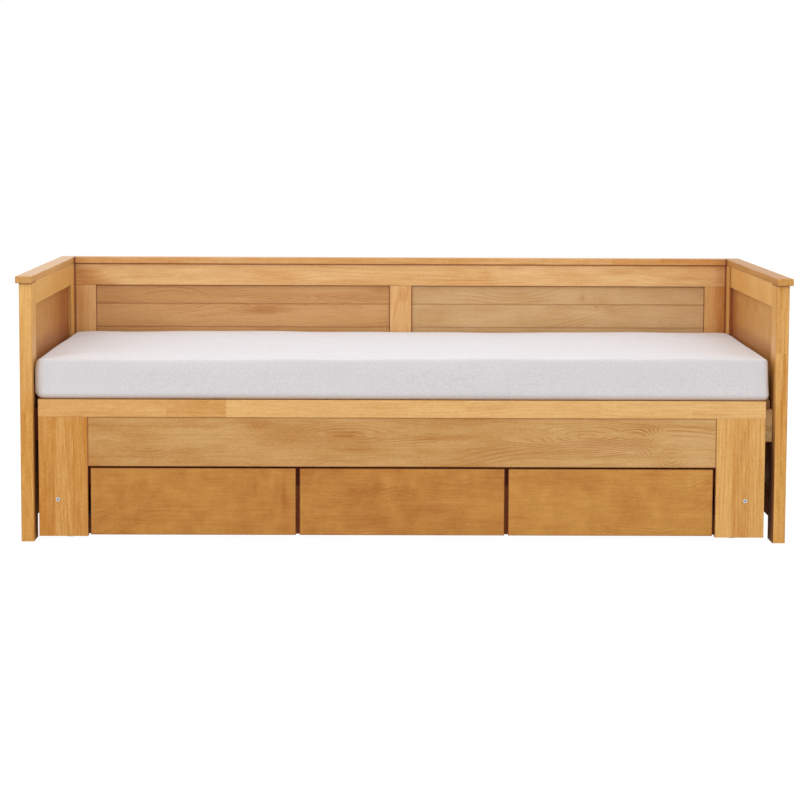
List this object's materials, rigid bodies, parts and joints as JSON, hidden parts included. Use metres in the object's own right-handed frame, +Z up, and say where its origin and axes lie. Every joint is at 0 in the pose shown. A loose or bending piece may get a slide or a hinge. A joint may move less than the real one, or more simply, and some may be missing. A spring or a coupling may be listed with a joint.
{
  "type": "daybed with pull-out bed and drawers",
  "caption": "Three-sided timber daybed with a padded mattress on slats, a front half that pulls out to widen the bed, and drawers below.",
  "frame": {"origin": "on the floor under the middle of the whole daybed at rest", "axes": "+X along the seat to the right as seen from the front, +Y to the back, +Z up"},
  "size_m": [2.086, 1.052, 0.718],
  "materials": {
    "honey_timber": "clear satin lacquer over honey-stained, finger-jointed hardwood strips",
    "plain_timber": "thin matt lacquer over plain planed timber",
    "drawer_front_timber": "satin lacquer over darker, blotchy stained timber",
    "drawer_box_timber": "unstained sanded timber and plywood",
    "mattress_knit": "pale grey heather knit over foam",
    "zinc_steel": "bright zinc plate",
    "bracket_steel": "black powder coat",
    "roller_nylon": "moulded matt nylon"
  },
  "bodies": {
    "daybed": {"left_arm_front_post": "honey_timber", "left_arm_rear_post": "honey_timber", "left_arm_top_rail": "honey_timber", "left_arm_bottom_rail": "honey_timber", "left_arm_panel": "honey_timber", "left_arm_cap": "honey_timber", "right_arm_front_post": "honey_timber", "right_arm_rear_post": "honey_timber", "right_arm_top_rail": "honey_timber", "right_arm_bottom_rail": "honey_timber", "right_arm_panel": "honey_timber", "right_arm_cap": "honey_timber", "back_top_rail": "honey_timber", "back_bottom_rail": "honey_timber", "back_left_stile": "honey_timber", "back_centre_stile": "honey_timber", "back_right_stile": "honey_timber", "back_left_panel": "honey_timber", "back_right_panel": "honey_timber", "back_cap": "honey_timber", "left_ledger": "plain_timber", "right_ledger": "plain_timber", "back_ledger": "plain_timber", "front_bearer": "plain_timber", "fixed_slats": "plain_timber", "frame_bolts": "zinc_steel", "barrel_nuts": "zinc_steel", "mattress": "mattress_knit"},
    "pullout": {"pullout_front_rail": "honey_timber", "pullout_left_leg": "honey_timber", "pullout_right_leg": "honey_timber", "pullout_fascia": "honey_timber", "sliding_slat_batten": "plain_timber", "sliding_slat_stop_batten": "plain_timber", "sliding_slats": "plain_timber", "case_left_side": "plain_timber", "case_right_side": "plain_timber", "case_top_rail": "plain_timber", "case_bottom_rail": "plain_timber", "case_stiles": "plain_timber", "case_back": "plain_timber", "drawer_runners": "plain_timber", "leg_screws": "zinc_steel", "roller_brackets": "bracket_steel"},
    "left_drawer": {"left_drawer_front": "drawer_front_timber", "left_drawer_sides": "drawer_box_timber", "left_drawer_back": "drawer_box_timber", "left_drawer_bottom": "drawer_box_timber"},
    "middle_drawer": {"middle_drawer_front": "drawer_front_timber", "middle_drawer_sides": "drawer_box_timber", "middle_drawer_back": "drawer_box_timber", "middle_drawer_bottom": "drawer_box_timber"},
    "right_drawer": {"right_drawer_front": "drawer_front_timber", "right_drawer_sides": "drawer_box_timber", "right_drawer_back": "drawer_box_timber", "right_drawer_bottom": "drawer_box_timber"},
    "front_left_wheel": {"front_left_wheel": "roller_nylon"},
    "front_right_wheel": {"front_right_wheel": "roller_nylon"},
    "rear_left_wheel": {"rear_left_wheel": "roller_nylon"},
    "rear_right_wheel": {"rear_right_wheel": "roller_nylon"}
  },
  "joints": [
    {"name": "pullout_slide", "type": "slide", "parent": "daybed", "child": "pullout", "axis": [0, -1, 0], "range_m": [0, 0.8]},
    {"name": "left_drawer_slide", "type": "slide", "parent": "pullout", "child": "left_drawer", "axis": [0, -1, 0], "range_m": [0, 0.4]},
    {"name": "middle_drawer_slide", "type": "slide", "parent": "pullout", "child": "middle_drawer", "axis": [0, -1, 0], "range_m": [0, 0.4]},
    {"name": "right_drawer_slide", "type": "slide", "parent": "pullout", "child": "right_drawer", "axis": [0, -1, 0], "range_m": [0, 0.4]},
    {"name": "front_left_wheel_spin", "type": "hinge", "parent": "pullout", "child": "front_left_wheel", "pos_m": [-0.9112, -0.427, 0.022], "axis": [1, 0, 0], "continuous": true},
    {"name": "front_right_wheel_spin", "type": "hinge", "parent": "pullout", "child": "front_right_wheel", "pos_m": [0.9012, -0.427, 0.022], "axis": [1, 0, 0], "continuous": true},
    {"name": "rear_left_wheel_spin", "type": "hinge", "parent": "pullout", "child": "rear_left_wheel", "pos_m": [-0.9112, -0.008, 0.022], "axis": [1, 0, 0], "continuous": true},
    {"name": "rear_right_wheel_spin", "type": "hinge", "parent": "pullout", "child": "rear_right_wheel", "pos_m": [0.9012, -0.008, 0.022], "axis": [1, 0, 0], "continuous": true}
  ],
  "couplings": [
    {"joint": "front_left_wheel_spin", "follows": "pullout_slide", "rad_per_m": 45.455},
    {"joint": "front_right_wheel_spin", "follows": "pullout_slide", "rad_per_m": 45.455},
    {"joint": "rear_left_wheel_spin", "follows": "pullout_slide", "rad_per_m": 45.455},
    {"joint": "rear_right_wheel_spin", "follows": "pullout_slide", "rad_per_m": 45.455}
  ]
}
